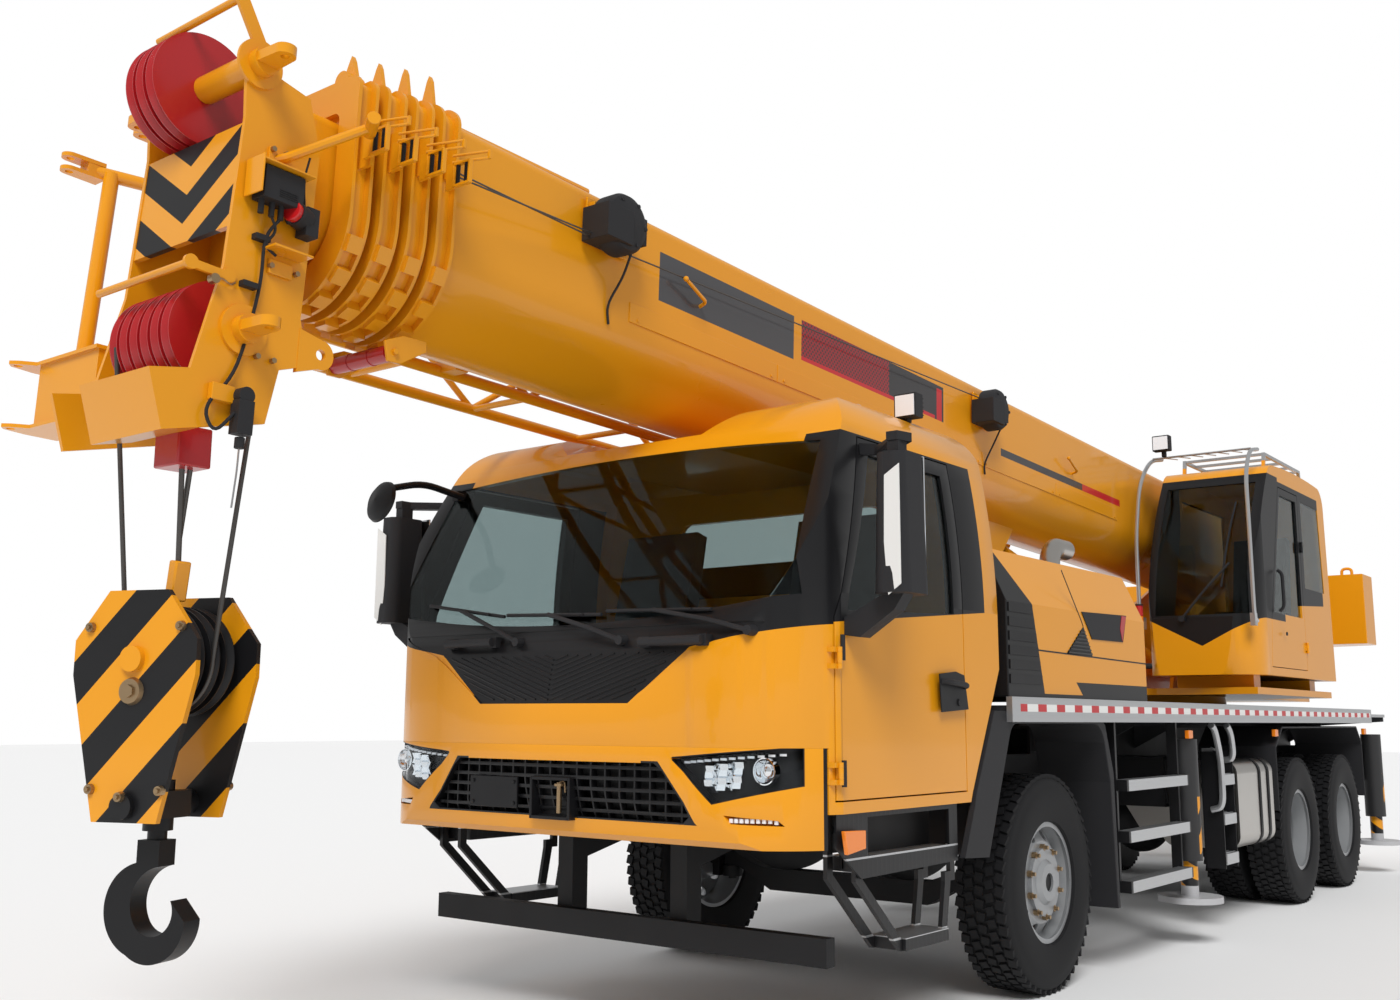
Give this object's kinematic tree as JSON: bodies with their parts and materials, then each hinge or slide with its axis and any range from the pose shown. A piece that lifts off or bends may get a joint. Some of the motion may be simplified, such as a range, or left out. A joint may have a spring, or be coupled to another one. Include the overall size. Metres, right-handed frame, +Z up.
{
  "type": "mobile crane",
  "caption": "Three-axle truck crane with telescopic boom, stowed lattice jib, hook block, outriggers, driver's cab and separate crane cab.",
  "frame": {"origin": "on the ground, under the middle of the crane's overall length and width", "axes": "+X ahead, +Y to the driver's left, +Z up"},
  "size_m": [12.4299, 3.1, 3.7731],
  "materials": {
    "frame_black": "satin",
    "deck_plate": "textured",
    "yellow": "gloss",
    "glass": "clear",
    "interior": "matte",
    "engine_grey": "rough",
    "stainless": "brushed",
    "exhaust_grey": "dull",
    "black_plastic": "satin",
    "red": "gloss",
    "chrome": "polished",
    "wire_rope": "greased",
    "hook_black": "satin",
    "tyre": "matte",
    "wheel_grey": "satin",
    "jack_grey": "satin"
  },
  "bodies": {
    "carrier": {"chassis_frame": "frame_black", "deck": "deck_plate", "cab_shell": "yellow", "cab_front": "yellow", "cab_glass": "glass", "cab_interior": "interior", "engine_hood": "yellow", "engine": "engine_grey", "axles": "frame_black", "tank": "stainless", "exhaust": "exhaust_grey", "fenders": "black_plastic", "steps": "stainless"},
    "left_cab_door": {"left_door": "yellow", "left_door_glass": "glass", "left_mirror": "black_plastic"},
    "right_cab_door": {"right_door": "yellow", "right_door_glass": "glass", "right_mirror": "black_plastic"},
    "left_steering": {"left_knuckle": "frame_black"},
    "right_steering": {"right_knuckle": "frame_black"},
    "superstructure": {"turntable": "yellow", "counterweight": "yellow", "winch": "frame_black", "crane_cab": "yellow", "crane_cab_glass": "glass"},
    "crane_door": {"crane_cab_door": "yellow", "crane_door_glass": "glass"},
    "boom_base": {"boom_1": "yellow", "jib": "yellow"},
    "boom_tele_2": {"boom_2": "yellow"},
    "boom_tele_3": {"boom_3": "yellow"},
    "boom_tele_4": {"boom_4": "yellow"},
    "boom_tele_5": {"boom_5_head": "yellow", "head_sheaves": "red"},
    "luff_barrel": {"luff_barrel": "yellow"},
    "luff_rod": {"luff_rod": "chrome"},
    "hook_block": {"hook_block": "yellow", "hoist_rope": "wire_rope"},
    "hook": {"hook": "hook_black"},
    "front_left_wheel": {"front_left_tyre": "tyre", "front_left_rim": "wheel_grey"},
    "rear_left_2_wheels": {"rear_left_2_tyres": "tyre", "rear_left_2_rims": "wheel_grey"},
    "rear_left_3_wheels": {"rear_left_3_tyres": "tyre", "rear_left_3_rims": "wheel_grey"},
    "front_left_beam": {"front_left_beam": "yellow"},
    "front_left_jack": {"front_left_jack": "jack_grey"},
    "rear_left_beam": {"rear_left_beam": "yellow"},
    "rear_left_jack": {"rear_left_jack": "jack_grey"},
    "front_right_wheel": {"front_right_tyre": "tyre", "front_right_rim": "wheel_grey"},
    "rear_right_2_wheels": {"rear_right_2_tyres": "tyre", "rear_right_2_rims": "wheel_grey"},
    "rear_right_3_wheels": {"rear_right_3_tyres": "tyre", "rear_right_3_rims": "wheel_grey"},
    "front_right_beam": {"front_right_beam": "yellow"},
    "front_right_jack": {"front_right_jack": "jack_grey"},
    "rear_right_beam": {"rear_right_beam": "yellow"},
    "rear_right_jack": {"rear_right_jack": "jack_grey"}
  },
  "joints": [
    {"name": "steer_left", "type": "hinge", "parent": "carrier", "child": "left_steering", "pos_m": [1.76493, 0.8, 0.53], "axis": [0, 0, 1], "range_deg": [-33, 33]},
    {"name": "steer_right", "type": "hinge", "parent": "carrier", "child": "right_steering", "pos_m": [1.76493, -0.8, 0.53], "axis": [0, 0, 1], "range_deg": [-33, 33]},
    {"name": "front_left_spin", "type": "hinge", "parent": "left_steering", "child": "front_left_wheel", "pos_m": [1.76493, 1.035, 0.53], "axis": [0, 1, 0], "continuous": true},
    {"name": "rear_left_2_spin", "type": "hinge", "parent": "carrier", "child": "rear_left_2_wheels", "pos_m": [-2.66007, 1.095, 0.53], "axis": [0, 1, 0], "continuous": true},
    {"name": "rear_left_3_spin", "type": "hinge", "parent": "carrier", "child": "rear_left_3_wheels", "pos_m": [-4.01007, 1.095, 0.53], "axis": [0, 1, 0], "continuous": true},
    {"name": "front_right_spin", "type": "hinge", "parent": "right_steering", "child": "front_right_wheel", "pos_m": [1.76493, -1.035, 0.53], "axis": [0, 1, 0], "continuous": true},
    {"name": "rear_right_2_spin", "type": "hinge", "parent": "carrier", "child": "rear_right_2_wheels", "pos_m": [-2.66007, -1.095, 0.53], "axis": [0, 1, 0], "continuous": true},
    {"name": "rear_right_3_spin", "type": "hinge", "parent": "carrier", "child": "rear_right_3_wheels", "pos_m": [-4.01007, -1.095, 0.53], "axis": [0, 1, 0], "continuous": true},
    {"name": "front_left_out", "type": "slide", "parent": "carrier", "child": "front_left_beam", "axis": [0, 1, 0], "range_m": [0, 1.75]},
    {"name": "front_left_down", "type": "slide", "parent": "front_left_beam", "child": "front_left_jack", "axis": [0, 0, -1], "range_m": [0, 0.45]},
    {"name": "rear_left_out", "type": "slide", "parent": "carrier", "child": "rear_left_beam", "axis": [0, 1, 0], "range_m": [0, 1.75]},
    {"name": "rear_left_down", "type": "slide", "parent": "rear_left_beam", "child": "rear_left_jack", "axis": [0, 0, -1], "range_m": [0, 0.45]},
    {"name": "front_right_out", "type": "slide", "parent": "carrier", "child": "front_right_beam", "axis": [0, -1, 0], "range_m": [0, 1.75]},
    {"name": "front_right_down", "type": "slide", "parent": "front_right_beam", "child": "front_right_jack", "axis": [0, 0, -1], "range_m": [0, 0.45]},
    {"name": "rear_right_out", "type": "slide", "parent": "carrier", "child": "rear_right_beam", "axis": [0, -1, 0], "range_m": [0, 1.75]},
    {"name": "rear_right_down", "type": "slide", "parent": "rear_right_beam", "child": "rear_right_jack", "axis": [0, 0, -1], "range_m": [0, 0.45]},
    {"name": "left_door_open", "type": "hinge", "parent": "carrier", "child": "left_cab_door", "pos_m": [3.83693, 1.2463, 1.6], "axis": [0, 0, -1], "range_deg": [0, 70]},
    {"name": "right_door_open", "type": "hinge", "parent": "carrier", "child": "right_cab_door", "pos_m": [3.83693, -1.2463, 1.6], "axis": [0, 0, 1], "range_deg": [0, 70]},
    {"name": "slew", "type": "hinge", "parent": "carrier", "child": "superstructure", "pos_m": [-2.88507, 0, 1.455], "axis": [0, 0, 1], "continuous": true},
    {"name": "crane_door_open", "type": "hinge", "parent": "superstructure", "child": "crane_door", "pos_m": [-3.11207, 1.2413, 2.4], "axis": [0, 0, 1], "range_deg": [0, 85]},
    {"name": "luff", "type": "hinge", "parent": "superstructure", "child": "boom_base", "pos_m": [-4.87507, 0, 2.55], "axis": [0, -1, 0], "range_deg": [0, 76]},
    {"name": "telescope_2", "type": "slide", "parent": "boom_base", "child": "boom_tele_2", "axis": [0.9993, 0, 0.0366], "range_m": [0, 7.8]},
    {"name": "telescope_3", "type": "slide", "parent": "boom_tele_2", "child": "boom_tele_3", "axis": [0.9993, 0, 0.0366], "range_m": [0, 7.8]},
    {"name": "telescope_4", "type": "slide", "parent": "boom_tele_3", "child": "boom_tele_4", "axis": [0.9993, 0, 0.0366], "range_m": [0, 7.8]},
    {"name": "telescope_5", "type": "slide", "parent": "boom_tele_4", "child": "boom_tele_5", "axis": [0.9993, 0, 0.0366], "range_m": [0, 7.8]},
    {"name": "luff_barrel_turn", "type": "hinge", "parent": "superstructure", "child": "luff_barrel", "pos_m": [-2.93507, 0, 1.79], "axis": [0, -1, 0], "range_deg": [0, 84.2]},
    {"name": "luff_rod_out", "type": "slide", "parent": "luff_barrel", "child": "luff_rod", "axis": [0.9766, 0, 0.215], "range_m": [0, 2.4956]},
    {"name": "block_hang", "type": "hinge", "parent": "boom_tele_5", "child": "hook_block", "pos_m": [5.90517, 0, 2.55003], "axis": [0, 1, 0], "range_deg": [0, 76]},
    {"name": "hook_swivel", "type": "hinge", "parent": "hook_block", "child": "hook", "pos_m": [5.90517, 0, 0.9], "axis": [0, 0, 1], "continuous": true}
  ],
  "couplings": [
    {"joint": "steer_right", "follows": "steer_left", "ratio": 1},
    {"joint": "telescope_3", "follows": "telescope_2", "ratio": 1},
    {"joint": "telescope_4", "follows": "telescope_2", "ratio": 1},
    {"joint": "telescope_5", "follows": "telescope_2", "ratio": 1},
    {"joint": "luff_barrel_turn", "follows": "luff", "ratio": 1.1077},
    {"joint": "luff_rod_out", "follows": "luff", "m_per_rad": 1.8807},
    {"joint": "block_hang", "follows": "luff", "ratio": 1}
  ]
}
